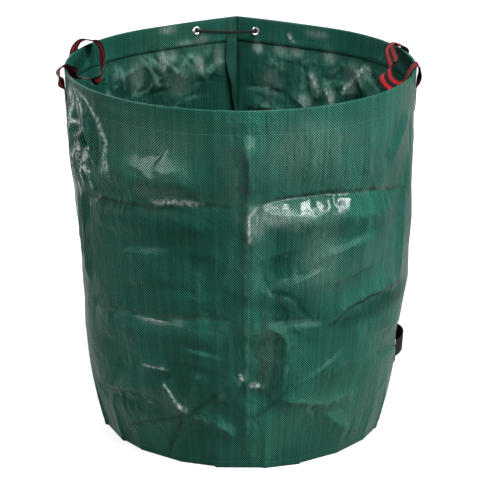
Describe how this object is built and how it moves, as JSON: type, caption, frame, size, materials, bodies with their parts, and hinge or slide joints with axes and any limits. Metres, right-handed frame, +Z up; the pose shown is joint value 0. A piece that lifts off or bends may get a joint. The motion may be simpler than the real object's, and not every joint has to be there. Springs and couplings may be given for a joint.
{
  "type": "leaf bag",
  "caption": "Round open-topped garden sack of woven plastic cloth that stands on its own base, with webbing handles at the rim and one low on the side.",
  "frame": {"origin": "centre of the round base on the floor it stands on", "axes": "+Z up, +Y towards the back seam, +X to the right seen from the front"},
  "size_m": [0.669, 0.7199, 0.7263],
  "materials": {
    "cloth": "glossy laminated tape weave",
    "tape": "matt folded binding tape",
    "hoop": "extruded strip",
    "metal": "bright plated",
    "cord": "braided cord",
    "webbing": "ribbed webbing, dark green with two red stripes"
  },
  "bodies": {
    "bag": {"wall_panel": "cloth", "rim_hoop": "hoop", "back_seam_binding": "tape", "base_panel": "cloth", "base_seam_binding": "tape", "eyelet_left": "metal", "eyelet_right": "metal", "eyelet_washer_left": "metal", "eyelet_washer_right": "metal", "tie_cord": "cord", "handle_left_front_end": "webbing", "handle_left_back_end": "webbing", "handle_right_front_end": "webbing", "handle_right_back_end": "webbing", "base_handle_front_end": "webbing", "base_handle_back_end": "webbing"},
    "handle_left": {"handle_left_loop": "webbing"},
    "handle_right": {"handle_right_loop": "webbing"},
    "base_handle": {"base_handle_loop": "webbing"}
  },
  "joints": [
    {"name": "handle_left_swing", "type": "hinge", "parent": "bag", "child": "handle_left", "pos_m": [-0.32928, -0.02881, 0.71265], "axis": [-0.2164, -0.9763, 0], "range_deg": [0, 200]},
    {"name": "handle_right_swing", "type": "hinge", "parent": "bag", "child": "handle_right", "pos_m": [0.32928, -0.02881, 0.71265], "axis": [-0.1736, 0.9848, 0], "range_deg": [0, 200]},
    {"name": "base_handle_swing", "type": "hinge", "parent": "bag", "child": "base_handle", "pos_m": [0.29609, -0.01444, 0.159], "axis": [0.1736, -0.9848, 0], "range_deg": [0, 60]}
  ]
}
